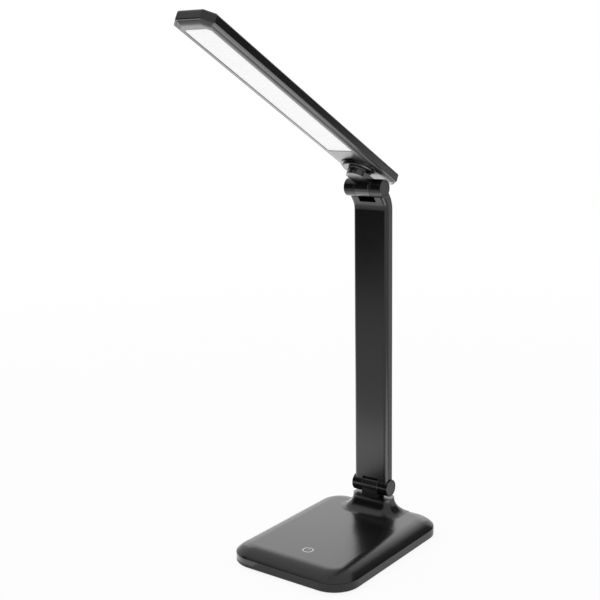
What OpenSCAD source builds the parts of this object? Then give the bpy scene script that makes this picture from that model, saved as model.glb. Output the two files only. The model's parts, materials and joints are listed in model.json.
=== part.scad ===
// Folding LED desk lamp, in millimetres.
// X runs along the hinge bolts, -Y is the front and Z is up. The origin is on the desk, under the
// middle of the base. The arm stands upright and the head is tilted up from the horizontal.

/* [Base] */
// Width of the base, side to side
base_w = 120; // [110:1:150]
// Length of the base, front to back
base_l = 161; // [150:1:200]
// Corner radius of the base seen from above
base_corner = 24; // [20:0.5:28]
// Height of the bottom tray's upright band
band_h = 7.5; // [7.5:0.5:10]
// Width of the soft shoulder round the base top
shoulder_w = 16; // [14:0.5:18]
// Steepness of the shoulder where it leaves the band
shoulder_angle = 45; // [42:1:50]
// Wall of the moulded base parts
base_wall = 2.2; // [1.8:0.1:2.4]
// Height of the shadow gap between the base halves
seam_gap = 0.3; // [0.2:0.05:0.4]
// Diameter of the rubber feet
foot_d = 12; // [8:0.5:14]
// How far the feet stand out below the tray
foot_drop = 0.8; // [0.6:0.1:1]
// Thickness of the steel ballast
ballast_t = 5; // [3:0.5:5]

/* [Neck] */
// Width of the neck at its top
neck_w = 39; // [38:0.5:44]
// Depth of the neck at its top, front to back
neck_l = 16; // [15:0.5:18]
// Corner radius of the neck's top
neck_corner = 6; // [5:0.5:6.5]
// Height of the neck above the base top
neck_h = 13.6; // [12:0.2:14]
// Distance of the lower hinge axis from the back edge of the base
hinge_inset = 22; // [21:0.5:28]
// Height of the lower hinge axis above the neck
hinge_rise = 9.5; // [8.8:0.1:12]

/* [Hinges] */
// Diameter of both hinge barrels
barrel_d = 15.4; // [15:0.1:16]
// Length of both hinge barrels, end to end
barrel_l = 37; // [37:0.5:42]
// Width of the lugs between the ears
lug_w = 16; // [15:0.5:17]
// Gap between a lug and the ear beside it
side_gap = 0.2; // [0.1:0.05:0.3]
// Thickness of the wear ring beside the upper lug
ring_t = 1.8; // [1:0.1:2.4]
// Diameter of the hinge bolts
bolt_d = 4; // [3.5:0.1:4.2]
// Radial clearance of shafts in their bores
fit = 0.06; // [0.03:0.01:0.09]

/* [Arm] */
// Height of the upper hinge axis above the lower one
arm_l = 270; // [200:1:360]
// Width of the arm
arm_w = 34.5; // [33:0.5:36]
// Thickness of the arm
arm_t = 11.4; // [10.8:0.1:12]
// Radius of the arm's front edges
arm_front_r = 3.5; // [2.5:0.1:4]
// Radius of the arm's back edges
arm_back_r = 3; // [2.5:0.1:4]
// Wall of the arm shells
arm_wall = 1.8; // [1.5:0.1:2]
// Depth of the front cover, from the front face to the side seam
cover_depth = 2.8; // [2.4:0.1:3.2]
// How far the upper hinge axis lies in front of the lower one
arm_forward = 10.5; // [9:0.5:12]
// Angle of the arm's forward bend
bend_angle = 37; // [34:1:40]
// Radius of the bend at the middle of the arm's thickness
bend_r = 17; // [15:0.5:19]
// Distance along the arm from the upper hinge axis to the floor of the slot
slot_drop = 11.3; // [10.5:0.1:11.6]

/* [Link and swivel] */
// Distance from the upper hinge axis to the swivel axis
link_reach = 20.2; // [19.5:0.1:24]
// Thickness of the link plate
link_t = 5.5; // [5.2:0.1:5.8]
// Height of the link's underside over the hinge axis, square to the head
link_lift = 1; // [0.8:0.1:1.2]
// Diameter of the swivel boss under the head
boss_d = 26; // [25.5:0.5:28]
// Diameter of the boss's thin flange
flange_d = 29.6; // [29:0.2:30.4]
// Diameter of the hollow swivel axle
axle_d = 8; // [7:0.2:8]

/* [Head] */
// Length of the head
head_l = 277; // [220:1:340]
// Width of the head
head_w = 37; // [36.5:0.5:42]
// Distance that the head's tail reaches behind the hinge axis
head_tail = 22; // [14:0.5:24]
// Size of the clipped corners
head_clip = 7.5; // [6:0.5:9]
// Tilt of the head above the horizontal
head_tilt = 28.3; // [0:0.1:50]
// Height of the head's underside over the hinge axis, square to the head
head_lift = 10.6; // [10.4:0.1:12]
// How far the bezel stands out below the head's edge
bezel_drop = 1.9; // [1.5:0.1:2.2]
// Width of the edge of the underside that curves up to the head's sides
bezel_w = 6.5; // [5.6:0.1:7]
// Height of the housing's sides
housing_h = 7.9; // [7.6:0.1:9.4]
// Radius of the housing's top edges
housing_r = 2.5; // [1.5:0.1:3]
// Wall of the head's shells
head_wall = 1.6; // [1.4:0.1:1.7]

/* [Light] */
// Width of the diffuser window
window_w = 24; // [20:0.5:25.5]
// Distance from the hinge axis to the diffuser window
window_start = 36; // [35.5:0.5:42]
// Distance from the diffuser window to the head's tip
window_end = 11; // [9:0.5:16]
// Size of the window's clipped corners
window_clip = 2.5; // [1:0.5:4]
// Recess of the diffuser in its window
diffuser_inset = 0.5; // [0.3:0.1:0.8]
// Number of LED pairs along the board
led_pairs = 20; // [8:1:20]

/* [Power symbol] */
// Outer diameter of the symbol
mark_d = 9.4; // [7:0.2:12]
// Line width of the symbol
mark_line = 0.9; // [0.7:0.1:1.2]
// Distance of the symbol's middle from the front edge
mark_inset = 32.5; // [28:0.5:45]
// Sideways place of the symbol's middle
mark_side = 3.5; // [-10:0.5:10]

/* [Hidden] */
$fn = 64;
shell_color = "#2b2b2d";
inner_color = "#3a3a3c";
metal_color = "#b9bcc0";
spring_color = "#90949a";
bronze_color = "#b08d4a";
board_color = "#1f5a3a";
white_color = "#f4f5f2";
gap = 0.05;

// Heights of the base, from the desk up
tray_z = foot_drop;
floor_z = tray_z + 2;
band_top = tray_z + band_h;
shell_z = band_top + seam_gap;
shoulder_r = shoulder_w / sin(shoulder_angle);
base_top = shell_z + shoulder_r * (1 - cos(shoulder_angle));
inside_top = base_top - base_wall;
neck_top = base_top + neck_h;
flare_r = neck_h + 0.15;
neck_back_r = 13;
roof_t = 3.2;
roof_z = neck_top - roof_t;

// Lower and upper hinge axes
hinge_y = base_l / 2 - hinge_inset;
hinge_z = neck_top + hinge_rise;
upper_y = hinge_y - arm_forward;
upper_z = hinge_z + arm_l;
barrel_r = barrel_d / 2;
barrel_bevel = 0.3;
lug_x = lug_w / 2;
ear_in = lug_x + side_gap;
ear_out = barrel_l / 2;
bolt_r = bolt_d / 2;
bush_r = bolt_r + 1.4;
lug_clear = 0.6;
cover_clear = 0.3;

// Pockets in the ends of the ears, and what sits in them
cap_r = barrel_r - 1.3;
cap_t = 1.2;
cap_edge = 0.3;
cap_sink = 0.1;
cap_seat = ear_out - cap_t - cap_sink - gap;
pocket_r = 4.7;
pocket_x = ear_in + 5.2;
bolt_head_r = 4;
bolt_head_h = 2.4;
bolt_end = 0.1;
washer_t = 0.5;
washer_dish = 0.25;
nut_h = 2;
nut_r = 4.2;
nut_x = pocket_x + 2 * washer_t + washer_dish + 4 * gap;

// Arm
bend_rest = (arm_forward - bend_r * (1 - cos(bend_angle))) / sin(bend_angle);
bend_z = arm_l - bend_r * sin(bend_angle) - bend_rest * cos(bend_angle);
arm_seam = -arm_t / 2 + cover_depth;
arm_seam_gap = 0.3;
hollow_z = barrel_r + lug_clear + arm_wall;
hollow_angle = bend_angle - 7;
join_l = 0.4;
join_hair = 0.03;
slot_back = 2.4;
clip_t = 1;
clip_l = 9;
clip_fit = 0.12;
clip_count = 6;
lead_w = 5;
lead_t = 1.2;

// Tray
rim_t = 2;
tongue_t = 1.2;
tongue_fit = 0.12;
tongue_drop = 1.6;
edge_chamfer = 0.7;
screw_x = base_w / 2 - 26;
screw_y = base_l / 2 - 28.5;
boss_r = 3.3;
screw_r = 1.25;
screw_head_r = 2.8;
screw_head_h = 2;
counterbore_r = 3.1;
counterbore_top = tray_z + 2.6;
tray_boss_r = 4.8;
tray_boss_top = tray_z + 5.6;
foot_x = base_w / 2 - 14;
foot_y = base_l / 2 - 14.5;
foot_seat = 0.8;
ballast_x = base_w / 2 - 13;
ballast_front = -base_l / 2 + 11;
ballast_back = hinge_y - 27;
pin_r = 2;
pin_x = ballast_x - 6;
pin_y = ballast_back - 8;
board_w = 44;
board_l = 37;
board_t = 1.2;
board_z = floor_z + 0.8;
board_back = base_l / 2 - rim_t - 2.5;
board_front = board_back - board_l;
stake_r = 1;
stake_x = board_w / 2 - 4;
socket_w = 9.2;
socket_h = 3.4;
socket_l = 7.4;
socket_wall = 0.35;
socket_z = floor_z + 0.1 + socket_h / 2;
socket_back = base_l / 2 - 0.3;
touch_w = 26;

// Hinge lug of the base
block_l = 10;
block_front = 0.3 - barrel_r;
stem_w = lug_w - 2;
stem_l = block_l - 2;
clamp_w = lug_w + 11;
clamp_l = 9.4;
clamp_t = 3;
knuckle_screw_x = 4.3;
neck_inside_w = neck_w - 8;
neck_inside_l = neck_l - 5;

// Levels of the head, square to its underside and counted from the upper hinge axis
edge_z = head_lift + bezel_drop;
pan_top = edge_z + 2.8;
housing_top = edge_z + housing_h;
housing_bevel = 0.6;
head_floor = head_lift + head_wall;
head_roof = housing_top - head_wall;
head_tip = head_l - head_tail;
round_steps = 5;
bezel_steps = 9;
pan_wall = 3.6;
pan_fit = 0.2;
pan_edge = head_wall + pan_fit;
bezel_run = bezel_w - pan_edge;
bezel_r = (pow(bezel_run, 2) + pow(bezel_drop, 2)) / (2 * bezel_drop);
bezel_angle = asin(bezel_run / bezel_r);

// Link and swivel
link_top = link_lift + link_t;
lug_end = lug_x - ring_t - 0.1;
cover_t = 1;
cover_margin = 1.2;
cover_fit = 0.08;
cover_y = -barrel_r - 1.6;
axle_r = axle_d / 2;
axle_bore_r = 2.2;
tube_flange_r = axle_r + 1.8;
tube_flange_h = 1.4;
friction_t = 0.8;
boss_z = link_top + friction_t + 2 * gap;
boss_top = head_lift - gap;
boss_flange_t = 1;
boss_edge = 0.5;
hub_r = axle_r + 3;
hub_top = head_floor + 1.8;
spring_t = 0.9;
swivel_nut_z = hub_top + spring_t + gap;
swivel_nut_h = 2.2;
swivel_nut_r = 6.6;
boss_screw_r = 0.9;
boss_screw_at = hub_r + 3;

// Light
window_l = head_tip - window_start - window_end;
diffuser_lip = 2;
diffuser_lip_t = 0.8;
box_z = head_floor + diffuser_lip_t + 2 * gap;
led_board_z = head_roof - 2.2;
led_board_t = 1;
reflector_t = 0.8;
chip_w = 2.8;
chip_l = 3.5;
chip_t = 0.7;
row_x = 6;
rib_count = 5;
rib_t = 1;

// Places of the moving frames
module at_lower_hinge() translate([0, hinge_y, hinge_z]) children();
module at_upper_hinge() translate([0, upper_y, upper_z]) children();
module on_head() at_upper_hinge() rotate([-head_tilt, 0, 0]) children();
module at_swivel() on_head() translate([0, -link_reach, 0]) children();

// A cylinder along X between two places
module bar_x(r, x0, x1) {
    translate([x0, 0, 0]) rotate([0, 90, 0]) cylinder(h = x1 - x0, r = r);
}

// A barrel piece along X with bevelled ends
module barrel(x0, x1) {
    bar_x(barrel_r, x0 + barrel_bevel, x1 - barrel_bevel);
    translate([x0, 0, 0]) rotate([0, 90, 0])
        cylinder(h = barrel_bevel, r1 = barrel_r - barrel_bevel, r2 = barrel_r);
    translate([x1 - barrel_bevel, 0, 0]) rotate([0, 90, 0])
        cylinder(h = barrel_bevel, r1 = barrel_r, r2 = barrel_r - barrel_bevel);
}

// A cylinder upwards between two heights
module post(r, z0, z1) {
    translate([0, 0, z0]) cylinder(h = z1 - z0, r = r);
}

// A box given by its width about the middle and its limits in Y and Z
module slab(w, y0, y1, z0, z1) {
    translate([-w / 2, y0, z0]) cube([w, y1 - y0, z1 - z0]);
}

// The same thing on the right and mirrored on the left
module both_sides() {
    children();
    mirror([1, 0, 0]) children();
}

// Sweeps an edge profile round a rounded rectangle. In the profile, x counts outwards from the
// corner centres and y is the height.
module around(w, l, r) {
    for (turn = [0:3]) {
        across = (turn % 2 == 0 ? w : l) / 2 - r;
        along = (turn % 2 == 0 ? l : w) / 2 - r;
        rotate(90 * turn) translate([across, along, 0]) {
            rotate([90, 0, 0]) linear_extrude(2 * along) children();
            rotate_extrude(angle = 90) children();
        }
    }
}

// A rounded rectangle with upright sides and a bevelled lower edge
module rounded_prism(w, l, r, z0, z1, bevel) {
    around(w, l, r)
        polygon([[0, z0], [r - bevel, z0], [r, z0 + bevel], [r, z1], [0, z1]]);
    slab(w - 2 * r, -l / 2 + r, l / 2 - r, z0, z1);
}

// The base's outline with an edge that rises in an arc to a flat top. A smaller arc about the
// same centre gives the hollow under it.
module pillow(arc, centre_z, z0, z1) {
    flat = base_corner - shoulder_w;
    around(base_w, base_l, base_corner) {
        translate([0, z0]) square([flat, z1 - z0]);
        intersection() {
            translate([flat, centre_z]) circle(arc, $fn = 128);
            translate([flat, z0]) square([shoulder_w + 1, z1 - z0]);
        }
    }
    slab(base_w - 2 * base_corner, -base_l / 2 + base_corner, base_l / 2 - base_corner, z0, z1);
}

// The four screw places of the base
module at_base_screws() {
    for (sx = [-1, 1], sy = [-1, 1]) translate([sx * screw_x, sy * screw_y, 0]) children();
}

// The five places of the rubber feet: four corners and the middle
module at_feet() {
    for (sx = [-1, 1], sy = [-1, 1]) translate([sx * foot_x, sy * foot_y, 0]) children();
    children();
}

// The four stakes that locate the driver board
module at_stakes() {
    for (sx = [-1, 1], y = [board_back - 8, board_front + 4]) translate([sx * stake_x, y, 0])
        children();
}

// A screw that points up, with the top face of its head at height 0
module screw_up(shank, length, head_r, head_h, drive) {
    difference() {
        union() {
            post(head_r, -head_h, 0);
            post(shank, -0.5, length);
        }
        translate([0, 0, -head_h - 1]) cylinder(h = 1 + head_h * 0.55, r = drive, $fn = 6);
    }
}

// The neck with its concave flare, standing on the seam level
module neck_flare() {
    translate([0, hinge_y, 0]) {
        around(neck_w, neck_l, neck_corner) difference() {
            translate([0, shell_z]) square([neck_corner + neck_h, neck_top - shell_z]);
            translate([neck_corner + flare_r, neck_top]) circle(flare_r, $fn = 96);
        }
        slab(neck_w - 2 * neck_corner, -neck_l / 2 + neck_corner, neck_l / 2 - neck_corner,
            shell_z, neck_top);
    }
}

// The hollow behind the neck. It runs down from the neck's back and out on the base's back edge.
module neck_back() {
    back_y = hinge_y + neck_l / 2;
    reach = back_y + neck_back_r - base_l / 2 + shoulder_w;
    centre_z = base_top - shoulder_r - 0.05
        + sqrt(pow(neck_back_r + shoulder_r, 2) - pow(reach, 2));
    end_y = back_y + neck_back_r - reach * neck_back_r / (neck_back_r + shoulder_r);
    translate([0, back_y + neck_back_r, centre_z]) bar_x(neck_back_r, -base_w / 2, base_w / 2);
    slab(base_w, back_y, base_l, centre_z, neck_top + 1);
    slab(base_w, end_y, base_l, shell_z - 1, centre_z + 1);
}

// Outline of the power symbol, grown by a clearance
module power_shape(grow) {
    translate([mark_side, -base_l / 2 + mark_inset]) {
        difference() {
            circle(mark_d / 2 + grow);
            circle(mark_d / 2 - mark_line - grow);
            translate([-1.7 * mark_line + grow, 0]) square([3.4 * mark_line - 2 * grow, mark_d]);
        }
        translate([-mark_line / 2 - grow, mark_d * 0.12 - grow])
            square([mark_line + 2 * grow, mark_d * 0.42 + 2 * grow]);
    }
}

module base_top_shell() color(shell_color) {
    difference() {
        union() {
            pillow(shoulder_r, base_top - shoulder_r, shell_z, base_top);
            difference() {
                neck_flare();
                neck_back();
            }
        }
        pillow(shoulder_r - base_wall, base_top - shoulder_r, shell_z - 1, inside_top);
        translate([0, hinge_y, 0]) {
            slab(neck_inside_w, -neck_inside_l / 2, neck_inside_l / 2, inside_top - 1, roof_z);
            slab(stem_w + 0.2, -stem_l / 2 - 0.1, stem_l / 2 + 0.1, roof_z - 1, neck_top + 1);
        }
        translate([0, 0, base_top - 0.62]) linear_extrude(2) power_shape(0.03);
    }
    // Tongue that drops inside the tray's rim
    around(base_w, base_l, base_corner)
        translate([base_corner - rim_t - tongue_fit - tongue_t, band_top - tongue_drop])
            square([tongue_t, tongue_drop + seam_gap + 0.25]);
    // Screw bosses
    at_base_screws() difference() {
        post(boss_r, tray_boss_top + 0.1, inside_top + 0.5);
        post(screw_r + 0.03, tray_boss_top, inside_top - 0.6);
    }
}

// Mouth of the power socket seen from the back, grown by a clearance
module socket_shape(grow) {
    half = socket_h / 2 + grow;
    reach = socket_w / 2 - socket_h / 2;
    translate([-reach, 0]) circle(half);
    translate([reach, 0]) circle(half);
    translate([-reach, -half]) square([2 * reach, 2 * half]);
}

// Stands an outline upright at the height of the socket, reaching forwards from a place in Y
module through_back(y0, length) {
    translate([0, y0, socket_z]) rotate([90, 0, 0]) linear_extrude(length) children();
}

module base_bottom_plate() color(shell_color) difference() {
    union() {
        difference() {
            rounded_prism(base_w, base_l, base_corner, tray_z, band_top, edge_chamfer);
            rounded_prism(base_w - 2 * rim_t, base_l - 2 * rim_t, base_corner - rim_t,
                floor_z, band_top + 1, 0.5);
        }
        at_base_screws() post(tray_boss_r, floor_z - 0.5, tray_boss_top);
        both_sides() translate([pin_x, pin_y, 0])
            post(pin_r, floor_z - 0.5, floor_z + ballast_t - 1);
        at_stakes() {
            post(2 * stake_r, floor_z - 0.5, board_z);
            post(stake_r, floor_z - 0.5, board_z + board_t + 0.8);
        }
    }
    at_base_screws() {
        post(counterbore_r, tray_z - 1, counterbore_top);
        post(screw_r + 0.25, tray_z, tray_boss_top + 1);
    }
    at_feet() post(foot_d / 2 + 0.1, tray_z - 1, tray_z + foot_seat + gap);
    through_back(base_l / 2 + 1, rim_t + 2) socket_shape(0.1);
}

module ballast_plate() color(metal_color) difference() {
    bottom = floor_z + gap;
    top = bottom + ballast_t;
    slab(2 * ballast_x, ballast_front, ballast_back, bottom, top);
    both_sides() {
        translate([screw_x, -screw_y, 0]) post(tray_boss_r + 0.4, bottom - 1, top + 1);
        translate([pin_x, pin_y, 0]) post(pin_r + 0.1, bottom - 1, top + 1);
    }
}

module rubber_feet() color("#1a1a1b") at_feet() {
    cylinder(h = foot_drop / 2, r1 = foot_d / 2 - 0.4, r2 = foot_d / 2);
    post(foot_d / 2, foot_drop / 2, tray_z + foot_seat);
}

module base_screws() color(metal_color) {
    at_base_screws() translate([0, 0, counterbore_top - gap])
        screw_up(screw_r, inside_top - 2.2 - counterbore_top, screw_head_r, screw_head_h, 1.4);
}

module base_knuckle() color(shell_color) at_lower_hinge() difference() {
    union() {
        barrel(-lug_x, lug_x);
        slab(lug_w, block_front, block_l / 2, -hinge_rise + gap, 0);
        slab(stem_w, -stem_l / 2, stem_l / 2, -hinge_rise - roof_t + 0.1, 0);
    }
    bar_x(bush_r + gap, -lug_x - 1, lug_x + 1);
    both_sides() translate([knuckle_screw_x, 0, 0])
        post(screw_r + 0.03, -hinge_rise - roof_t - 1, -bush_r - 1.2);
}

module knuckle_clamp() color(metal_color) translate([0, hinge_y, roof_z - gap - clamp_t])
    difference() {
        slab(clamp_w, -clamp_l / 2, clamp_l / 2, 0, clamp_t);
        both_sides() translate([knuckle_screw_x, 0, 0]) post(screw_r + 0.15, -1, clamp_t + 1);
    }

module knuckle_screws() color(metal_color) translate([0, hinge_y, roof_z - clamp_t - 2 * gap])
    both_sides() translate([knuckle_screw_x, 0, 0])
        screw_up(screw_r, clamp_t + roof_t + hinge_rise - bush_r - 2, 2.2, 1.6, 1.2);

// A bush that lines a lug between two places along X
module hinge_bush(x0, x1) {
    difference() {
        bar_x(bush_r, x0, x1);
        bar_x(bolt_r + fit, x0 - 1, x1 + 1);
    }
}

module knuckle_bush() color(bronze_color) at_lower_hinge() hinge_bush(-lug_x + gap, lug_x - gap);

module power_mark() color("#8b8d90") {
    translate([0, 0, base_top - 0.6]) linear_extrude(0.57) power_shape(0);
}

module touch_board() color(board_color) translate([mark_side, -base_l / 2 + mark_inset, 0]) {
    slab(touch_w, -touch_w / 2, touch_w / 2, inside_top - gap - 1, inside_top - gap);
    slab(9, -touch_w / 2 + 2, -touch_w / 2 + 7, inside_top - gap - 2.4, inside_top - gap - 0.5);
}

module driver_board() color(board_color) {
    bottom = board_z + gap;
    top = bottom + board_t;
    difference() {
        slab(board_w, board_front, board_back, bottom, top);
        slab(socket_w + 0.6, socket_back - socket_l - 0.4, board_back + 1, bottom - 1, top + 1);
        at_stakes() post(stake_r + 0.1, bottom - 1, top + 1);
    }
    // Capacitors, coil and controller
    translate([-9, board_front + 13, 0]) post(3.2, top - 0.5, top + 6.5);
    translate([1, board_front + 13, 0]) post(2.5, top - 0.5, top + 5);
    translate([12, 0, 0]) slab(8, board_front + 9, board_front + 17, top - 0.5, top + 3.2);
    slab(6, board_front + 20, board_front + 25, top - 0.5, top + 1.4);
}

module power_socket() color(metal_color) {
    difference() {
        through_back(socket_back, socket_l) socket_shape(0);
        through_back(socket_back + 1, socket_l) socket_shape(-socket_wall);
    }
    through_back(socket_back - 1, socket_l - 1.2)
        translate([-socket_w / 2 + 1.6, -0.35]) square([socket_w - 3.2, 0.7]);
}

// Cross-section of the arm, drawn in by an inset: x across, y towards the back
module arm_section(inset) {
    in = inset + $hair;
    w = arm_w - 2 * in;
    t = arm_t - 2 * in;
    front = arm_front_r - in;
    back = arm_back_r - in;
    translate([-w / 2 + front, -t / 2]) square([w - 2 * front, t / 2]);
    translate([-w / 2 + back, 0]) square([w - 2 * back, t / 2]);
    translate([-w / 2, -t / 2 + front]) square([w, t - front - back]);
    for (sx = [-1, 1]) {
        translate([sx * (w / 2 - front), -t / 2 + front]) circle(front);
        translate([sx * (w / 2 - back), t / 2 - back]) circle(back);
    }
}

module rear_section() difference() {
    arm_section(0);
    translate([-arm_w, arm_seam - arm_t]) square([2 * arm_w, arm_t]);
}

module front_section() difference() {
    arm_section(0);
    translate([-arm_w, arm_seam - arm_seam_gap]) square([2 * arm_w, arm_t]);
}

// Runs a cross-section up the arm from a height, round the bend and on towards the upper axis.
// The last piece starts inside the bend and is a hair smaller, so that the two join cleanly.
module arm_sweep(z0, angle, rest) {
    $hair = 0;
    translate([0, 0, z0]) linear_extrude(bend_z - z0) children();
    translate([0, -bend_r, bend_z]) rotate([90, 0, 90]) rotate_extrude(angle = angle)
        translate([bend_r, 0]) mirror([1, -1, 0]) children();
    if (rest > 0) at_arm_end() translate([0, 0, -bend_rest - join_l])
        linear_extrude(rest + join_l) let ($hair = join_hair) children();
}

// The frame of the arm's upper end: z along the arm, y towards its back
module at_arm_end() {
    translate([0, -arm_forward, arm_l]) rotate([bend_angle, 0, 0]) children();
}

// Bores and pockets of one hinge's ears
module ear_bores() {
    bar_x(bolt_r + fit, -ear_out, ear_out);
    both_sides() {
        bar_x(pocket_r, pocket_x, ear_out + 1);
        bar_x(cap_r + gap, cap_seat, ear_out + 1);
    }
}

module arm_rear_shell() color(shell_color) at_lower_hinge() difference() {
    union() {
        arm_sweep(0, bend_angle, bend_rest) rear_section();
        both_sides() barrel(ear_in, ear_out);
        at_arm_end() both_sides() barrel(ear_in, ear_out);
    }
    arm_sweep(hollow_z, hollow_angle, 0) arm_section(arm_wall);
    bar_x(barrel_r + lug_clear, -ear_in, ear_in);
    slab(2 * ear_in, -arm_t, arm_t, -barrel_r - 1, barrel_r + lug_clear);
    ear_bores();
    at_arm_end() {
        bar_x(barrel_r + lug_clear, -ear_in, ear_in);
        slab(2 * ear_in, -arm_t, slot_back, -slot_drop, barrel_r + 1);
        ear_bores();
    }
}

module arm_front_cover() color(inner_color) at_lower_hinge() difference() {
    union() {
        difference() {
            arm_sweep(0, bend_angle, bend_rest) front_section();
            arm_sweep(hollow_z, hollow_angle, 0) arm_section(arm_wall);
        }
        // Clips that reach into the rear shell
        for (i = [0:clip_count - 1]) both_sides()
            translate([arm_w / 2 - arm_wall - clip_fit - clip_t, -arm_t / 2 + 1,
                    hollow_z + 4 + i * (bend_z - hollow_z - clip_l - 8) / (clip_count - 1)])
                cube([clip_t, arm_t / 2 + 0.5, clip_l]);
    }
    bar_x(barrel_r + cover_clear, -arm_w, arm_w);
    slab(2 * ear_in, -arm_t, arm_t, -1, barrel_r + lug_clear);
    at_arm_end() {
        bar_x(barrel_r + cover_clear, -arm_w, arm_w);
        slab(2 * ear_in, -arm_t, arm_t, -slot_drop, barrel_r + 1);
    }
}

module arm_lead() color("#8d8f92") at_lower_hinge() {
    arm_sweep(hollow_z + 1, hollow_angle - 4, 0)
        translate([-lead_w / 2, arm_t / 2 - arm_wall - lead_t - gap]) square([lead_w, lead_t]);
}

// Hinge bolt along X with its head on the right
module hinge_bolt() {
    head_x = pocket_x + gap;
    difference() {
        union() {
            bar_x(bolt_r, -nut_x - nut_h - bolt_end, head_x + 1);
            bar_x(bolt_head_r, head_x, head_x + bolt_head_h);
        }
        translate([head_x + 1, 0, 0]) rotate([0, 90, 0]) cylinder(h = 4, r = 1.7, $fn = 6);
    }
}

module hinge_nut() {
    difference() {
        translate([-nut_x - nut_h, 0, 0]) rotate([0, 90, 0])
            cylinder(h = nut_h, r = nut_r, $fn = 6);
        bar_x(bolt_r + 0.03, -nut_x - nut_h - 1, -nut_x + 1);
    }
}

// Two nested cone washers on the left of the hinge
module hinge_washers() {
    inner = bolt_r + 0.15;
    outer = bolt_head_r + 0.3;
    for (i = [0, 1]) translate([-pocket_x - gap - i * (washer_t + gap), 0, 0])
        rotate([0, -90, 0]) rotate_extrude() polygon([
            [outer, 0], [outer, washer_t],
            [inner, washer_t + washer_dish], [inner, washer_dish]
        ]);
}

// Round caps in both ends of a barrel
module ear_caps() {
    face = ear_out - cap_sink;
    both_sides() {
        bar_x(cap_r, cap_seat + gap, face - cap_edge);
        translate([face - cap_edge, 0, 0]) rotate([0, 90, 0])
            cylinder(h = cap_edge, r1 = cap_r, r2 = cap_r - cap_edge);
    }
}

module lower_hinge_bolt() color(metal_color) at_lower_hinge() hinge_bolt();

module lower_hinge_nut() color(metal_color) at_lower_hinge() hinge_nut();

module lower_spring_washers() color(spring_color) at_lower_hinge() hinge_washers();

module lower_ear_caps() color(inner_color) at_lower_hinge() ear_caps();

module upper_hinge_bolt() color(metal_color) at_upper_hinge() hinge_bolt();

module upper_hinge_nut() color(metal_color) at_upper_hinge() hinge_nut();

module upper_spring_washers() color(spring_color) at_upper_hinge() hinge_washers();

module upper_ear_caps() color(inner_color) at_upper_hinge() ear_caps();

module upper_ring() color(inner_color) at_upper_hinge() difference() {
    barrel(lug_x - ring_t, ear_in - gap);
    bar_x(bolt_r + 0.2, 0, ear_out);
}

module link_arm() color(shell_color) on_head() difference() {
    union() {
        barrel(-lug_x, lug_end);
        difference() {
            slab(lug_w, -link_reach, 0, link_lift, link_top);
            bar_x(barrel_r + 0.15, lug_end, lug_w);
        }
        translate([0, -link_reach, 0]) post(lug_x, link_lift, link_top);
    }
    bar_x(bush_r + gap, -lug_w, lug_w);
    // Room for the swivel tube and the cover under it
    translate([0, -link_reach, 0]) {
        post(axle_r + gap, link_lift - 1, link_top + 1);
        post(tube_flange_r + 0.1, link_lift - 1, link_lift + cover_t + tube_flange_h + 2 * gap);
        post(lug_x - cover_margin, link_lift - 1, link_lift + cover_t + gap);
    }
    slab(2 * (lug_x - cover_margin), -link_reach, cover_y, link_lift - 1,
        link_lift + cover_t + gap);
}

module link_cover() color(inner_color) on_head() {
    half = lug_x - cover_margin - cover_fit;
    slab(2 * half, -link_reach, cover_y - cover_fit, link_lift, link_lift + cover_t);
    translate([0, -link_reach, 0]) post(half, link_lift, link_lift + cover_t);
}

module link_bush() color(bronze_color) on_head() hinge_bush(-lug_x + gap, lug_end - gap);

module swivel_tube() color(metal_color) at_swivel() difference() {
    flange_z = link_lift + cover_t + gap;
    top = swivel_nut_z + swivel_nut_h + 0.4;
    union() {
        post(tube_flange_r, flange_z, flange_z + tube_flange_h);
        post(axle_r, flange_z + 0.5, top);
    }
    post(axle_bore_r, flange_z - 1, top + 1);
}

module swivel_friction_washer() color("#6d6f72") at_swivel() difference() {
    post(lug_x - 0.6, link_top + gap, link_top + gap + friction_t);
    post(axle_r + 0.1, link_top - 1, boss_z + 1);
}

module swivel_spring_washer() color(spring_color) at_swivel() translate([0, 0, hub_top + gap])
    rotate_extrude() polygon([
        [hub_r - 0.3, 0], [hub_r - 0.3, 0.5],
        [axle_r + 0.15, spring_t - 0.1], [axle_r + 0.15, spring_t - 0.6]
    ]);

module swivel_nut() color(metal_color) at_swivel() difference() {
    translate([0, 0, swivel_nut_z]) cylinder(h = swivel_nut_h, r = swivel_nut_r, $fn = 6);
    post(axle_r + 0.03, swivel_nut_z - 1, swivel_nut_z + swivel_nut_h + 1);
}

// A long rectangle with clipped corners, given by half its width and its two ends in Y
module clipped(half, tip, tail, clip) {
    polygon([
        [half, tail - clip], [half - clip, tail], [-half + clip, tail], [-half, tail - clip],
        [-half, tip + clip], [-half + clip, tip], [half - clip, tip], [half, tip + clip]
    ]);
}

// A plate with the head's outline, drawn in by an inset
module head_plate(inset, z0, z1) {
    translate([0, 0, z0]) linear_extrude(z1 - z0)
        clipped(head_w / 2 - inset, inset - head_tip, head_tail - inset,
            head_clip - inset * (2 - sqrt(2)));
}

// A plate with the outline of the diffuser window, grown by a margin
module window_plate(grow, z0, z1) {
    translate([0, 0, z0]) linear_extrude(z1 - z0)
        clipped(window_w / 2 + grow, -window_start - window_l - grow, -window_start + grow,
            window_clip + grow * (2 - sqrt(2)));
}

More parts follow.
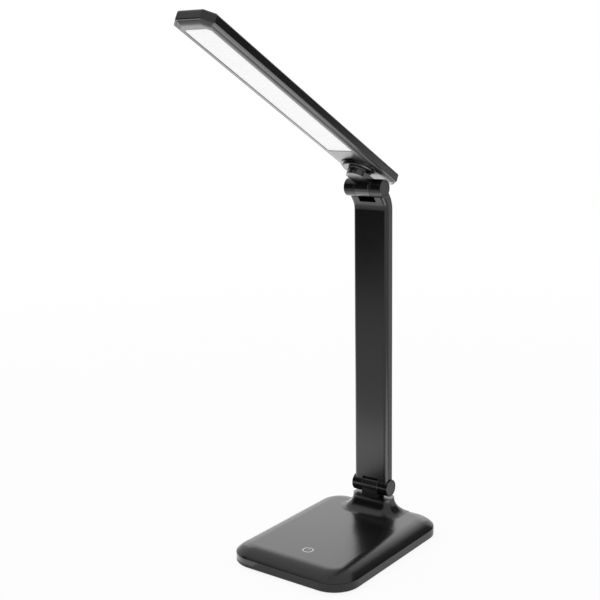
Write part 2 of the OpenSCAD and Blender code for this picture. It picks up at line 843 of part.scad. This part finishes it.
module head_housing() color(shell_color) on_head() {
    thin = 0.01;
    edge = housing_top - housing_r;
    difference() {
        hull() {
            head_plate(housing_bevel, edge_z, edge_z + thin);
            head_plate(0, edge_z + housing_bevel, edge);
            for (i = [1:round_steps]) {
                a = 90 * i / round_steps;
                head_plate(housing_r * (1 - cos(a)), edge + housing_r * sin(a) - thin,
                    edge + housing_r * sin(a));
            }
        }
        head_plate(head_wall, edge_z - 1, head_roof);
    }
    // Ribs that hold the LED board down
    for (i = [0:rib_count - 1]) {
        y = -window_start - 12 - i * (window_l - 24) / (rib_count - 1);
        slab(window_w - 2, y - rib_t / 2, y + rib_t / 2, led_board_z + led_board_t + gap,
            head_roof + 0.5);
    }
}

module head_frame() color(inner_color) on_head() difference() {
    union() {
        difference() {
            hull() {
                for (i = [0:bezel_steps]) {
                    a = bezel_angle * i / bezel_steps;
                    z = head_lift + bezel_r * (1 - cos(a));
                    head_plate(bezel_w - bezel_r * sin(a), z, z + 0.01);
                }
                head_plate(pan_edge, edge_z, pan_top);
            }
            head_plate(pan_wall, head_floor, pan_top + 1);
        }
        translate([0, -link_reach, 0]) post(hub_r, head_floor - 0.3, hub_top);
    }
    window_plate(0, head_lift - 1, head_floor + 1);
    translate([0, -link_reach, 0]) {
        post(axle_r + fit, head_lift - 1, hub_top + 1);
        at_boss_screws() post(boss_screw_r + 0.15, head_lift - 1, head_floor + 1);
    }
}

module diffuser() color(white_color) on_head() {
    window_plate(-0.1, head_lift + diffuser_inset, head_floor + 0.5);
    window_plate(diffuser_lip - 0.1, head_floor + gap, head_floor + gap + diffuser_lip_t);
}

module reflector() color(white_color) on_head() difference() {
    window_plate(1, box_z, led_board_z - gap);
    window_plate(1 - reflector_t, box_z - 1, led_board_z - gap - reflector_t);
    both_sides() translate([row_x, 0, 0])
        slab(chip_w + 0.8, -window_start - window_l + 3, -window_start - 3, box_z, led_board_z + 1);
}

module led_board() color("#e9ebe6") on_head() {
    slab(window_w, -window_start - window_l + 0.5, -window_start - 0.5,
        led_board_z, led_board_z + led_board_t);
}

module led_chips() color("#f2e27a") on_head() {
    pitch = (window_l - 16) / (led_pairs - 1);
    for (i = [0:led_pairs - 1], sx = [-1, 1])
        translate([sx * row_x, -window_start - 8 - i * pitch, led_board_z - gap / 2])
            slab(chip_w, -chip_l / 2, chip_l / 2, -chip_t, 0);
}

// The three screw places of the swivel boss
module at_boss_screws() {
    for (a = [0:2]) rotate(90 + 120 * a) translate([boss_screw_at, 0, 0]) children();
}

module swivel_boss() color(inner_color) at_swivel() difference() {
    union() {
        translate([0, 0, boss_z])
            cylinder(h = boss_edge, r1 = boss_d / 2 - boss_edge, r2 = boss_d / 2);
        post(boss_d / 2, boss_z + boss_edge, boss_top);
        post(flange_d / 2, boss_top - boss_flange_t, boss_top);
    }
    post(axle_r + fit, boss_z - 1, boss_top + 1);
    at_boss_screws() post(boss_screw_r + 0.03, boss_z + 0.8, boss_top + 1);
}

module boss_screws() color(metal_color) at_swivel() at_boss_screws()
    translate([0, 0, head_floor + gap]) mirror([0, 0, 1])
        screw_up(boss_screw_r, head_floor - boss_z - 1, 1.8, 1.2, 0.9);

base_top_shell();
base_bottom_plate();
ballast_plate();
rubber_feet();
base_screws();
base_knuckle();
knuckle_clamp();
knuckle_screws();
knuckle_bush();
power_mark();
touch_board();
driver_board();
power_socket();
arm_rear_shell();
arm_front_cover();
arm_lead();
lower_hinge_bolt();
lower_hinge_nut();
lower_spring_washers();
lower_ear_caps();
upper_hinge_bolt();
upper_hinge_nut();
upper_spring_washers();
upper_ear_caps();
upper_ring();
link_arm();
link_cover();
link_bush();
swivel_tube();
swivel_friction_washer();
swivel_spring_washer();
swivel_nut();
head_housing();
head_frame();
diffuser();
reflector();
led_board();
led_chips();
swivel_boss();
boss_screws();
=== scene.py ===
"""Studio scene of a folding LED desk lamp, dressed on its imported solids.

Units are metres. X runs along the hinge pins, -Y is the front of the lamp and Z is up.
"""

import json
import logging
import math
from dataclasses import dataclass, field
from enum import Enum
from typing import Any

import bmesh
import bpy
from mathutils import Matrix, Vector

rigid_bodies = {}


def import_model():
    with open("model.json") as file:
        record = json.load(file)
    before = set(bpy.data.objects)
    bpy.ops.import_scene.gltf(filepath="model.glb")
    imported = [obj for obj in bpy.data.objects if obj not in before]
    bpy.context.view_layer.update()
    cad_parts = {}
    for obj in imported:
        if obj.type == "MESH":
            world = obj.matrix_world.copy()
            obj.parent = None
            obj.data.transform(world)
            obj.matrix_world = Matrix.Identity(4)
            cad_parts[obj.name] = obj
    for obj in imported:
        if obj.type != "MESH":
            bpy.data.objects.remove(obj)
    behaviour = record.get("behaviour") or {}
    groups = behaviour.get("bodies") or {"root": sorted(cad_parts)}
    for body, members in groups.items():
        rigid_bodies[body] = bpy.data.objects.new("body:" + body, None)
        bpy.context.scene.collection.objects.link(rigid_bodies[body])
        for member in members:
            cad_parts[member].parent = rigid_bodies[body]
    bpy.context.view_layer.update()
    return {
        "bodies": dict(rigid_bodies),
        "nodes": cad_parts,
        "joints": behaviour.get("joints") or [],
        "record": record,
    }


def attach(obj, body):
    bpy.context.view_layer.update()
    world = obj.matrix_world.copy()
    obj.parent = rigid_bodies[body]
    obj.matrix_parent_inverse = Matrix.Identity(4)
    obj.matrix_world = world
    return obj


LOG = logging.getLogger("desk_lamp")
Color = tuple[float, float, float]


class Pattern(Enum):
    """How a finish is broken up at close range."""

    MOULDED = "fine spark-eroded grain"
    BRUSHED = "straight brushed lines"
    PLATED = "soft plated mottle"
    SPECKLED = "open sintered speckle"
    SMOOTH = "almost even surface"


EVEN: Color = (1.0, 1.0, 1.0)
STRETCH: dict[Pattern, Color] = {Pattern.BRUSHED: (0.04, 1.0, 1.0)}
OCTAVES: dict[Pattern, float] = {Pattern.SMOOTH: 0.0, Pattern.PLATED: 1.0}
GRAIN_OCTAVES = 3.0
PATCH_OCTAVES = 2.0
TONE_STOPS = (0.3, 0.7)
PIT_STOPS = (0.42, 0.5)
BUMP_STRENGTH = 1.0
SAME_PLACE = 1e-6


def put_object(name: str, mesh: bmesh.types.BMesh) -> bpy.types.Object:
    """Turns a mesh under work into an object of the scene.

    Args:
        name: The name of the object and of its mesh.
        mesh: The mesh under work, which is freed.

    Returns:
        The object, linked to the scene and still without a material.
    """
    data = bpy.data.meshes.new(name)
    mesh.to_mesh(data)
    mesh.free()
    made = bpy.data.objects.new(name, data)
    bpy.context.scene.collection.objects.link(made)
    return made


@dataclass(frozen=True)
class Finish:
    """One surface finish and the material made from it.

    Sizes are in metres. A spread is how far a value wanders either side of its middle.
    """

    name: str
    color: Color
    roughness: float
    metallic: float = 0.0
    specular: float = 0.5
    coat: float = 0.0
    coat_roughness: float = 0.2
    glow: float = 0.0
    tone_spread: float = 0.08
    gloss_spread: float = 0.03
    patch: float = 0.03
    grain: float = 0.0006
    relief: float = 0.000002
    pattern: Pattern = Pattern.MOULDED

    def material(self) -> bpy.types.Material:
        """Makes the finish's material, or gives the one made before.

        Returns:
            The material, with its nodes in place.
        """
        made = bpy.data.materials.get(self.name)
        if made:
            return made
        made = bpy.data.materials.new(self.name)
        made.use_nodes = True
        tree = made.node_tree
        shader = tree.nodes["Principled BSDF"]
        shader.inputs["Metallic"].default_value = self.metallic
        shader.inputs["Specular IOR Level"].default_value = self.specular
        shader.inputs["Coat Weight"].default_value = self.coat
        shader.inputs["Coat Roughness"].default_value = self.coat_roughness
        if self.glow > 0:
            shader.inputs["Emission Color"].default_value = (*self.color, 1.0)
            shader.inputs["Emission Strength"].default_value = self.glow
        patches = self._noise(tree, 1.0 / self.patch, PATCH_OCTAVES, EVEN)
        self._tone(tree, shader, patches)
        self._gloss(tree, shader, patches)
        self._relief(tree, shader)
        return made

    def _noise(
        self, tree: bpy.types.NodeTree, scale: float, detail: float, stretch: Color
    ) -> bpy.types.NodeSocket:
        """Adds a noise on Object coordinates.

        Args:
            tree: The material's nodes.
            scale: Repeats per metre.
            detail: Octaves of the noise.
            stretch: Factors along X, Y and Z.

        Returns:
            The noise's value socket.
        """
        place = tree.nodes.new("ShaderNodeTexCoord")
        turn = tree.nodes.new("ShaderNodeMapping")
        turn.inputs["Scale"].default_value = stretch
        noise = tree.nodes.new("ShaderNodeTexNoise")
        noise.inputs["Scale"].default_value = scale
        noise.inputs["Detail"].default_value = detail
        tree.links.new(place.outputs["Object"], turn.inputs["Vector"])
        tree.links.new(turn.outputs["Vector"], noise.inputs["Vector"])
        return noise.outputs["Fac"]

    def _tone(
        self,
        tree: bpy.types.NodeTree,
        shader: bpy.types.Node,
        patches: bpy.types.NodeSocket,
    ) -> None:
        """Lets the colour wander softly between a darker and a lighter tone.

        Args:
            tree: The material's nodes.
            shader: The surface shader.
            patches: The slow noise that steers it.
        """
        ramp = tree.nodes.new("ShaderNodeValToRGB")
        low, high = ramp.color_ramp.elements
        low.position, high.position = TONE_STOPS
        low.color = (*(c * (1 - self.tone_spread) for c in self.color), 1.0)
        high.color = (*(min(1.0, c * (1 + self.tone_spread)) for c in self.color), 1.0)
        tree.links.new(patches, ramp.inputs["Fac"])
        tree.links.new(ramp.outputs["Color"], shader.inputs["Base Color"])

    def _gloss(
        self,
        tree: bpy.types.NodeTree,
        shader: bpy.types.Node,
        patches: bpy.types.NodeSocket,
    ) -> None:
        """Lets the roughness wander with the same slow noise.

        Args:
            tree: The material's nodes.
            shader: The surface shader.
            patches: The slow noise that steers it.
        """
        span = tree.nodes.new("ShaderNodeMapRange")
        span.inputs["To Min"].default_value = self.roughness - self.gloss_spread
        span.inputs["To Max"].default_value = self.roughness + self.gloss_spread
        tree.links.new(patches, span.inputs["Value"])
        tree.links.new(span.outputs["Result"], shader.inputs["Roughness"])

    def _relief(self, tree: bpy.types.NodeTree, shader: bpy.types.Node) -> None:
        """Adds the close-range relief that the pattern asks for.

        Args:
            tree: The material's nodes.
            shader: The surface shader.
        """
        stretch = STRETCH.get(self.pattern, EVEN)
        detail = OCTAVES.get(self.pattern, GRAIN_OCTAVES)
        source = self._noise(tree, 1.0 / self.grain, detail, stretch)
        if self.pattern is Pattern.SPECKLED:
            pits = tree.nodes.new("ShaderNodeValToRGB")
            low, high = pits.color_ramp.elements
            low.position, high.position = PIT_STOPS
            tree.links.new(source, pits.inputs["Fac"])
            source = pits.outputs["Color"]
        bump = tree.nodes.new("ShaderNodeBump")
        bump.inputs["Strength"].default_value = BUMP_STRENGTH
        bump.inputs["Distance"].default_value = self.relief
        tree.links.new(source, bump.inputs["Height"])
        tree.links.new(bump.outputs["Normal"], shader.inputs["Normal"])


BLACK_SHELL = Finish("black_shell", (0.006, 0.006, 0.0061), 0.23, specular=0.45)
BLACK_BEZEL = Finish(
    "black_bezel", (0.01, 0.01, 0.0102), 0.36, specular=0.6, coat=0.6
)
BLACK_GLOSS = Finish(
    "black_gloss", (0.008, 0.008, 0.0082), 0.2, specular=0.55, coat=0.3
)
BLACK_SMALL = Finish("black_small_parts", (0.011, 0.011, 0.0112), 0.3, specular=0.42)
ZINC = Finish(
    "zinc_plate", (0.6, 0.61, 0.63), 0.3, 1.0, patch=0.004, pattern=Pattern.PLATED
)
SPRING = Finish(
    "spring_steel", (0.45, 0.46, 0.48), 0.26, 1.0, patch=0.005, pattern=Pattern.BRUSHED
)
ROLLED = Finish(
    "rolled_steel", (0.4, 0.4, 0.41), 0.4, 1.0, patch=0.01, pattern=Pattern.BRUSHED
)
BRONZE = Finish(
    "sintered_bronze", (0.5, 0.34, 0.15), 0.42, 1.0, pattern=Pattern.SPECKLED
)
FOOT_RUBBER = Finish(
    "foot_rubber", (0.02, 0.02, 0.02), 0.75, relief=0.00002, grain=0.0004
)
GLYPH = Finish("glyph_print", (0.6, 0.6, 0.61), 0.35, pattern=Pattern.SMOOTH)
BOARD = Finish("board_green", (0.012, 0.13, 0.06), 0.35, coat=0.3)
LEAD = Finish("lead_sheath", (0.3, 0.31, 0.32), 0.5)
OPAL = Finish(
    "opal_panel", (0.85, 0.85, 0.85), 0.6, specular=0.1, glow=0.35,
    pattern=Pattern.SMOOTH,
    tone_spread=0.004,
)
MATT_WHITE = Finish("matt_white", (0.84, 0.84, 0.82), 0.6, tone_spread=0.02)
PHOSPHOR = Finish("led_phosphor", (0.85, 0.75, 0.25), 0.3, pattern=Pattern.SMOOTH)


def dress(frame: dict[str, Any], finishes: dict[str, Finish]) -> None:
    """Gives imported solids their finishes.

    Args:
        finishes: A finish for each node's name.
    """
    for name, finish in finishes.items():
        piece = frame["nodes"][name]
        piece.data.materials.clear()
        piece.data.materials.append(finish.material())
        LOG.info("%s dressed in %s", name, finish.name)


@dataclass
class LampBase:
    """The weighted foot with its neck, knuckle, switch and boards."""

    frame: dict[str, Any]

    def build(self) -> None:
        """Dresses every node of the base."""
        dress(
            self.frame,
            {
                "base_top_shell": BLACK_SHELL,
                "base_bottom_plate": BLACK_SMALL,
                "ballast_plate": ROLLED,
                "rubber_feet": FOOT_RUBBER,
                "base_screws": ZINC,
                "base_knuckle": BLACK_SMALL,
                "knuckle_clamp": ROLLED,
                "knuckle_screws": ZINC,
                "knuckle_bush": BRONZE,
                "power_mark": GLYPH,
                "touch_board": BOARD,
                "driver_board": BOARD,
                "power_socket": ZINC,
            },
        )


@dataclass
class LampArm:
    """The bent arm: two shells, its lead and both friction hinges."""

    frame: dict[str, Any]

    def build(self) -> None:
        """Dresses every node of the arm."""
        dress(
            self.frame,
            {
                "arm_rear_shell": BLACK_SHELL,
                "arm_front_cover": BLACK_SHELL,
                "arm_lead": LEAD,
                "lower_hinge_bolt": ZINC,
                "lower_hinge_nut": ZINC,
                "lower_spring_washers": SPRING,
                "lower_ear_caps": BLACK_SMALL,
                "upper_hinge_bolt": ZINC,
                "upper_hinge_nut": ZINC,
                "upper_spring_washers": SPRING,
                "upper_ear_caps": BLACK_SMALL,
                "upper_ring": BLACK_SMALL,
            },
        )


@dataclass
class LampLink:
    """The short link between the upper hinge and the head's swivel."""

    frame: dict[str, Any]

    def build(self) -> None:
        """Dresses every node of the link."""
        dress(
            self.frame,
            {
                "link_arm": BLACK_GLOSS,
                "link_cover": BLACK_GLOSS,
                "link_bush": BRONZE,
                "swivel_tube": ZINC,
                "swivel_friction_washer": LEAD,
                "swivel_spring_washer": SPRING,
                "swivel_nut": ZINC,
            },
        )


@dataclass(frozen=True)
class HeadPlace:
    """Where the head hangs: its tilt pin and its tilt at rest."""

    pin: Vector = field(default_factory=lambda: Vector((0.0, 0.048, 0.308327)))
    tilt: float = math.radians(28.3)

    def matrix(self) -> Matrix:
        """Gives the turn and shift from the head's own axes to the lamp's.

        Returns:
            The matrix of the head at rest.
        """
        return Matrix.Translation(self.pin) @ Matrix.Rotation(-self.tilt, 4, "X")


@dataclass
class LampHead:
    """The long head: shell, bezel, opal panel and the LED strip behind it.

    Sizes are in metres and run from the tilt pin.
    """

    frame: dict[str, Any]
    place: HeadPlace = field(default_factory=HeadPlace)
    window_start: float = 0.036
    window_width: float = 0.024
    window_clip: float = 0.0025
    underside: float = 0.0106
    mask_length: float = 0.014
    mask_depth: float = 0.00045
    mask_play: float = 0.00002
    clip_reach: float = 0.001

    def build(self) -> None:
        """Dresses every node of the head and adds the panel's end mask."""
        self._mask()
        dress(
            self.frame,
            {
                "head_housing": BLACK_SHELL,
                "head_frame": BLACK_BEZEL,
                "diffuser": OPAL,
                "reflector": MATT_WHITE,
                "led_board": MATT_WHITE,
                "led_chips": PHOSPHOR,
                "swivel_boss": BLACK_GLOSS,
                "boss_screws": ZINC,
            },
        )

    def _mask(self) -> None:
        """Adds the black mask over the rear end of the opal panel.

        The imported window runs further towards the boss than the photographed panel.
        """
        mesh = bmesh.new()
        bmesh.ops.create_cube(mesh, size=1.0)
        bmesh.ops.scale(
            mesh,
            vec=(
                self.window_width - 2 * self.mask_play,
                self.mask_length,
                self.mask_depth,
            ),
            verts=mesh.verts,
        )
        bmesh.ops.translate(
            mesh,
            vec=(
                0.0,
                -self.window_start - self.mask_length / 2 - self.mask_play,
                self.underside + self.mask_depth / 2,
            ),
            verts=mesh.verts,
        )
        rear = [
            edge
            for edge in mesh.edges
            if all(
                vert.co.y > -self.window_start - self.clip_reach for vert in edge.verts
            )
            and abs(edge.verts[0].co.x - edge.verts[1].co.x) < SAME_PLACE
        ]
        bmesh.ops.bevel(
            mesh, geom=rear, offset=self.window_clip, offset_type="OFFSET",
            segments=1, profile=0.5, affect="EDGES", material=-1,
        )
        mesh.transform(self.place.matrix())
        mask = put_object("panel_mask", mesh)
        mask.data.materials.append(BLACK_BEZEL.material())
        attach(mask, "head")
        LOG.info("panel_mask added")


@dataclass(frozen=True)
class SoftLamp:
    """One soft lamp of the studio.

    Sizes are in metres and power is in watts. A lamp can light matt surfaces, show in
    reflections, or both.
    """

    name: str
    place: Vector
    target: Vector
    width: float
    height: float
    power: float
    lights_matt: bool = True
    shows_in_gloss: bool = True

    def hang(self) -> None:
        """Hangs the lamp and turns it towards its target."""
        data = bpy.data.lights.new(self.name, "AREA")
        data.shape = "RECTANGLE"
        data.size = self.width
        data.size_y = self.height
        data.energy = self.power
        lamp = bpy.data.objects.new(self.name, data)
        lamp.location = self.place
        lamp.rotation_mode = "QUATERNION"
        aim = (self.target - self.place).to_track_quat("-Z", "Y")
        lamp.rotation_quaternion = aim
        lamp.visible_camera = False
        lamp.visible_diffuse = self.lights_matt
        lamp.visible_glossy = self.shows_in_gloss
        bpy.context.scene.collection.objects.link(lamp)
        LOG.info("%s hung", self.name)


@dataclass(frozen=True)
class Flag:
    """A dark card that only reflections show. Sizes are in metres."""

    name: str
    place: Vector
    target: Vector
    width: float
    height: float
    level: float = 0.02
    half_side: float = 0.5

    def stand(self) -> None:
        """Stands the card up, facing its target."""
        mesh = bmesh.new()
        bmesh.ops.create_grid(mesh, x_segments=1, y_segments=1, size=self.half_side)
        aim = (self.target - self.place).to_track_quat("Z", "Y")
        bmesh.ops.scale(
            mesh, vec=(self.width, self.height, 1.0), verts=mesh.verts
        )
        bmesh.ops.rotate(mesh, matrix=aim.to_matrix(), verts=mesh.verts)
        bmesh.ops.translate(mesh, vec=self.place, verts=mesh.verts)
        card = put_object(self.name, mesh)
        card.visible_camera = False
        card.visible_diffuse = False
        card.visible_transmission = False
        card.visible_shadow = False
        cloth = bpy.data.materials.new(self.name)
        cloth.use_nodes = True
        tree = cloth.node_tree
        tree.nodes.remove(tree.nodes["Principled BSDF"])
        tone = tree.nodes.new("ShaderNodeEmission")
        tone.inputs["Color"].default_value = (1.0, 1.0, 1.0, 1.0)
        tone.inputs["Strength"].default_value = self.level
        tree.links.new(
            tone.outputs["Emission"], tree.nodes["Material Output"].inputs["Surface"]
        )
        card.data.materials.append(cloth)
        LOG.info("%s stood up", self.name)


@dataclass
class Studio:
    """Pale floor, white surroundings, soft lamps and dark flags."""

    floor_size: float = 12.0
    floor_color: Color = (0.86, 0.86, 0.86)
    floor_white: float = 0.9
    floor_near: float = 0.4
    floor_far: float = 1.6
    sky_level: float = 0.55
    lamps: tuple[SoftLamp, ...] = (
        SoftLamp(
            "top_lamp", Vector((-0.4, 0.3, 2.2)), Vector((0.0, 0.0, 0.2)),
            width=2.0, height=1.6, power=26.0, shows_in_gloss=False,
        ),
        SoftLamp(
            "back_softbox", Vector((-1.15, 1.65, 0.95)), Vector((0.0, 0.0, 0.03)),
            width=2.0, height=1.3, power=8.0, lights_matt=False,
        ),
        SoftLamp(
            "left_bounce", Vector((-0.32, 0.22, 0.004)), Vector((-0.32, 0.22, 1.0)),
            width=0.58, height=0.8, power=1.5, lights_matt=False,
        ),
        SoftLamp(
            "right_bounce", Vector((0.27, -0.02, 0.004)), Vector((0.27, -0.02, 1.0)),
            width=0.36, height=0.26, power=0.8, lights_matt=False,
        ),
        SoftLamp(
            "front_bounce", Vector((-0.03, -0.14, 0.004)), Vector((-0.03, -0.14, 1.0)),
            width=0.36, height=0.1, power=0.035, lights_matt=False,
        ),
    )
    flags: tuple[Flag, ...] = (
        Flag(
            "front_flag", Vector((-0.55, -0.85, 0.6)), Vector((0.0, 0.0, 0.6)),
            width=1.8, height=1.16,
        ),
        Flag(
            "right_flag", Vector((0.75, 1.0, 0.9)), Vector((0.0, 0.0, 0.9)),
            width=1.4, height=1.26, level=0.1,
        ),
    )

    def build(self) -> None:
        """Makes the floor, the surroundings, the lamps and the flags."""
        self._floor()
        self._world()
        for lamp in self.lamps:
            lamp.hang()
        for flag in self.flags:
            flag.stand()

    def _seen(self, tree: bpy.types.NodeTree) -> bpy.types.NodeSocket:
        """Adds a factor that is 1 for rays from the camera, a gloss or a glass.

        Args:
            tree: The nodes of a material or the world.

        Returns:
            The factor's socket.
        """
        path = tree.nodes.new("ShaderNodeLightPath")
        factor = path.outputs["Is Camera Ray"]
        for kind in ("Is Glossy Ray", "Is Transmission Ray"):
            either = tree.nodes.new("ShaderNodeMath")
            either.operation = "MAXIMUM"
            tree.links.new(factor, either.inputs[0])
            tree.links.new(path.outputs[kind], either.inputs[1])
            factor = either.outputs["Value"]
        return factor

    def _floor(self) -> None:
        """Lays the floor."""
        mesh = bmesh.new()
        bmesh.ops.create_grid(
            mesh, x_segments=1, y_segments=1, size=self.floor_size / 2
        )
        floor = put_object("floor", mesh)
        floor.data.materials.append(self._floor_paint())
        LOG.info("floor laid")

    def _floor_paint(self) -> bpy.types.Material:
        """Makes the floor's paint: mostly white by itself, the rest lit and shaded.

        Returns:
            The paint, wholly white further out, for the camera and for reflections.
        """
        paint = bpy.data.materials.new("floor_paint")
        paint.use_nodes = True
        tree = paint.node_tree
        matt = tree.nodes["Principled BSDF"]
        matt.inputs["Base Color"].default_value = (*self.floor_color, 1.0)
        matt.inputs["Roughness"].default_value = 1.0
        matt.inputs["Specular IOR Level"].default_value = 0.0
        white = tree.nodes.new("ShaderNodeEmission")
        place = tree.nodes.new("ShaderNodeTexCoord")
        reach = tree.nodes.new("ShaderNodeVectorMath")
        reach.operation = "LENGTH"
        fade = tree.nodes.new("ShaderNodeMapRange")
        fade.interpolation_type = "SMOOTHSTEP"
        fade.inputs["From Min"].default_value = self.floor_near
        fade.inputs["From Max"].default_value = self.floor_far
        fade.inputs["To Min"].default_value = self.floor_white
        fade.inputs["To Max"].default_value = 1.0
        share = tree.nodes.new("ShaderNodeMath")
        share.operation = "MULTIPLY"
        tree.links.new(place.outputs["Object"], reach.inputs[0])
        tree.links.new(reach.outputs["Value"], fade.inputs["Value"])
        tree.links.new(fade.outputs["Result"], share.inputs[1])
        mix = tree.nodes.new("ShaderNodeMixShader")
        tree.links.new(self._seen(tree), share.inputs[0])
        tree.links.new(share.outputs["Value"], mix.inputs["Fac"])
        tree.links.new(matt.outputs["BSDF"], mix.inputs[1])
        tree.links.new(white.outputs["Emission"], mix.inputs[2])
        tree.links.new(
            mix.outputs["Shader"], tree.nodes["Material Output"].inputs["Surface"]
        )
        return paint

    def _world(self) -> None:
        """Makes even surroundings that the camera and a gloss see as white.

        They aren't sampled as a light, which would show a gloss the lower level too.
        """
        world = bpy.data.worlds.new("surroundings")
        world.use_nodes = True
        world.cycles.sampling_method = "NONE"
        bpy.context.scene.world = world
        tree = world.node_tree
        sky = tree.nodes["Background"]
        sky.inputs["Color"].default_value = (1.0, 1.0, 1.0, 1.0)
        span = tree.nodes.new("ShaderNodeMapRange")
        span.inputs["To Min"].default_value = self.sky_level
        span.inputs["To Max"].default_value = 1.0
        tree.links.new(self._seen(tree), span.inputs["Value"])
        tree.links.new(span.outputs["Result"], sky.inputs["Strength"])
        LOG.info("surroundings set")


@dataclass
class PhotoCamera:
    """The camera at the photograph's viewing angle. Angles are in radians."""

    place: Vector = field(default_factory=lambda: Vector((0.5056, -0.7265, 0.3993)))
    azimuth: float = 0.64115
    pitch: float = 0.20056
    roll: float = -0.01545
    lens: float = 65.06
    sensor: float = 36.0
    near: float = 0.01
    far: float = 50.0

    def build(self) -> None:
        """Places the camera and makes it the scene's own."""
        data = bpy.data.cameras.new("photo_camera")
        data.lens = self.lens
        data.sensor_width = self.sensor
        data.clip_start = self.near
        data.clip_end = self.far
        camera = bpy.data.objects.new("photo_camera", data)
        sin_a, cos_a = math.sin(self.azimuth), math.cos(self.azimuth)
        level = Vector((-sin_a, cos_a, 0.0))
        right = Vector((cos_a, sin_a, 0.0))
        ahead = level * math.cos(self.pitch) - Vector((0, 0, 1)) * math.sin(self.pitch)
        up = right.cross(ahead)
        side = right * math.cos(self.roll) + up * math.sin(self.roll)
        top = up * math.cos(self.roll) - right * math.sin(self.roll)
        turn = Matrix((side, top, -ahead)).transposed().to_4x4()
        camera.matrix_world = Matrix.Translation(self.place) @ turn
        bpy.context.scene.collection.objects.link(camera)
        bpy.context.scene.camera = camera
        LOG.info("camera placed")


def clear_scene() -> None:
    """Removes whatever the start-up file holds."""
    for item in list(bpy.data.objects):
        bpy.data.objects.remove(item)


def main() -> None:
    """Builds the lamp and its studio."""
    logging.basicConfig(level=logging.INFO)
    clear_scene()
    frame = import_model()
    bpy.context.scene.view_settings.view_transform = "Standard"
    for part in (LampBase(frame), LampArm(frame), LampLink(frame), LampHead(frame)):
        part.build()
    Studio().build()
    PhotoCamera().build()


if __name__ == "__main__":
    main()
